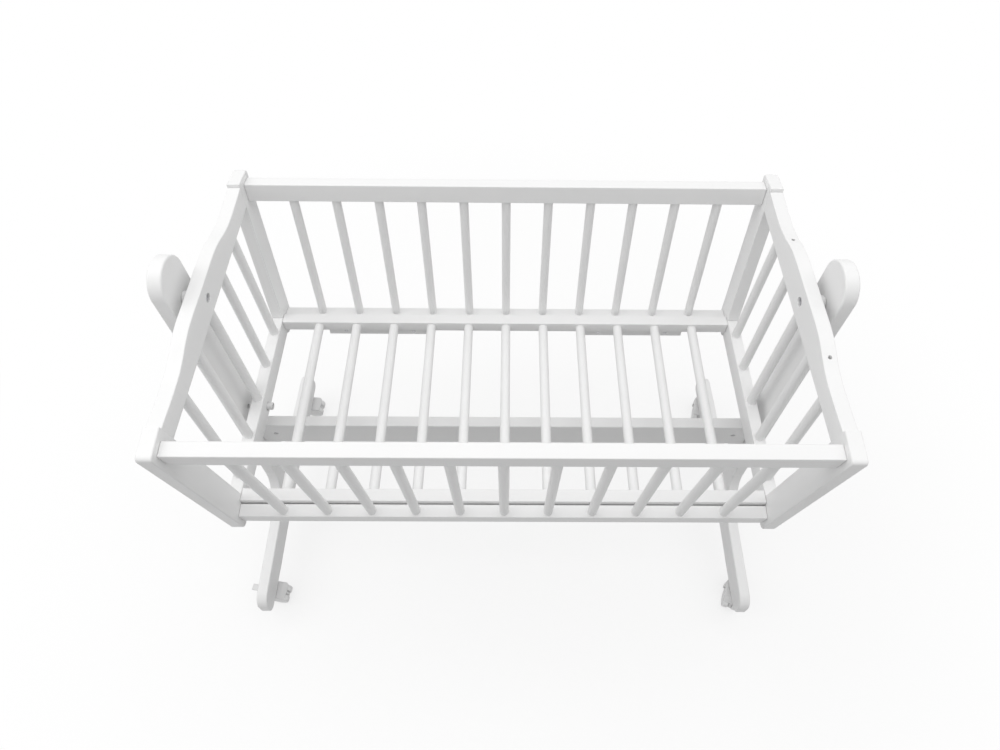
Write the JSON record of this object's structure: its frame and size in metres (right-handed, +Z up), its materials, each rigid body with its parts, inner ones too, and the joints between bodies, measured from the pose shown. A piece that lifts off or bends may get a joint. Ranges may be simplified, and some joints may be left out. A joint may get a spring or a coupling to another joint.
{
  "type": "swinging crib",
  "caption": "White slatted crib that swings between two uprights, with leaning sides, waved end rails, a slatted base, a locking pin and a stand on castors.",
  "frame": {"origin": "on the floor, below the middle of the crib and of its four swivel axes", "axes": "+X along the crib towards the right end, +Y from front to back, +Z up"},
  "size_m": [1.0662, 0.554, 0.8525],
  "materials": {
    "paint": "white satin paint on wood",
    "plastic": "white moulded plastic",
    "steel": "zinc plated"
  },
  "bodies": {
    "stand": {"left_upright": "paint", "right_upright": "paint", "left_foot": "paint", "right_foot": "paint", "stretcher": "paint", "left_pivot_bolt": "steel", "right_pivot_bolt": "steel", "left_pivot_spacer": "plastic", "right_pivot_spacer": "plastic", "lock_socket": "plastic"},
    "cradle": {"front_top_rail": "paint", "front_bottom_rail": "paint", "back_top_rail": "paint", "back_bottom_rail": "paint", "front_left_post": "paint", "front_right_post": "paint", "back_left_post": "paint", "back_right_post": "paint", "front_left_cleat": "paint", "front_right_cleat": "paint", "back_left_cleat": "paint", "back_right_cleat": "paint", "front_spindle_1": "paint", "front_spindle_2": "paint", "front_spindle_3": "paint", "front_spindle_4": "paint", "front_spindle_5": "paint", "front_spindle_6": "paint", "front_spindle_7": "paint", "front_spindle_8": "paint", "front_spindle_9": "paint", "front_spindle_10": "paint", "front_spindle_11": "paint", "back_spindle_1": "paint", "back_spindle_2": "paint", "back_spindle_3": "paint", "back_spindle_4": "paint", "back_spindle_5": "paint", "back_spindle_6": "paint", "back_spindle_7": "paint", "back_spindle_8": "paint", "back_spindle_9": "paint", "back_spindle_10": "paint", "back_spindle_11": "paint", "left_end_top_rail": "paint", "right_end_top_rail": "paint", "left_end_grille": "paint", "right_end_grille": "paint", "base_frame": "paint"},
    "lock_pin": {"lock_pin": "plastic"},
    "front_left_castor": {"front_left_castor_housing": "plastic"},
    "front_left_wheels": {"front_left_castor_wheels": "plastic"},
    "front_left_pedal": {"front_left_brake_pedal": "plastic"},
    "front_right_castor": {"front_right_castor_housing": "plastic"},
    "front_right_wheels": {"front_right_castor_wheels": "plastic"},
    "front_right_pedal": {"front_right_brake_pedal": "plastic"},
    "back_left_castor": {"back_left_castor_housing": "plastic"},
    "back_left_wheels": {"back_left_castor_wheels": "plastic"},
    "back_right_castor": {"back_right_castor_housing": "plastic"},
    "back_right_wheels": {"back_right_castor_wheels": "plastic"}
  },
  "joints": [
    {"name": "cradle_swing", "type": "hinge", "parent": "stand", "child": "cradle", "pos_m": [0, 0, 0.77345], "axis": [1, 0, 0], "range_deg": [-15, 15]},
    {"name": "lock_pin_slide", "type": "slide", "parent": "cradle", "child": "lock_pin", "axis": [1, 0, 0], "range_m": [0, 0.02]},
    {"name": "front_left_swivel", "type": "hinge", "parent": "stand", "child": "front_left_castor", "pos_m": [-0.498, -0.228, 0.05], "axis": [0, 0, 1], "continuous": true},
    {"name": "front_right_swivel", "type": "hinge", "parent": "stand", "child": "front_right_castor", "pos_m": [0.498, -0.228, 0.05], "axis": [0, 0, 1], "continuous": true},
    {"name": "back_left_swivel", "type": "hinge", "parent": "stand", "child": "back_left_castor", "pos_m": [-0.498, 0.228, 0.05], "axis": [0, 0, 1], "continuous": true},
    {"name": "back_right_swivel", "type": "hinge", "parent": "stand", "child": "back_right_castor", "pos_m": [0.498, 0.228, 0.05], "axis": [0, 0, 1], "continuous": true},
    {"name": "front_left_roll", "type": "hinge", "parent": "front_left_castor", "child": "front_left_wheels", "pos_m": [-0.48513, -0.22981, 0.02], "axis": [0.1392, 0.9903, 0], "continuous": true},
    {"name": "front_right_roll", "type": "hinge", "parent": "front_right_castor", "child": "front_right_wheels", "pos_m": [0.49377, -0.24029, 0.02], "axis": [0.9455, -0.3256, 0], "continuous": true},
    {"name": "back_left_roll", "type": "hinge", "parent": "back_left_castor", "child": "back_left_wheels", "pos_m": [-0.48503, 0.22709, 0.02], "axis": [0.0698, 0.9976, 0], "continuous": true},
    {"name": "back_right_roll", "type": "hinge", "parent": "back_right_castor", "child": "back_right_wheels", "pos_m": [0.49485, 0.21539, 0.02], "axis": [0.9703, -0.2419, 0], "continuous": true},
    {"name": "front_left_brake", "type": "hinge", "parent": "front_left_castor", "child": "front_left_pedal", "pos_m": [-0.52375, -0.22438, 0.035], "axis": [0.1392, 0.9903, 0], "range_deg": [0, 15]},
    {"name": "front_right_brake", "type": "hinge", "parent": "front_right_castor", "child": "front_right_pedal", "pos_m": [0.50646, -0.20342, 0.035], "axis": [0.9455, -0.3256, 0], "range_deg": [0, 15]}
  ]
}
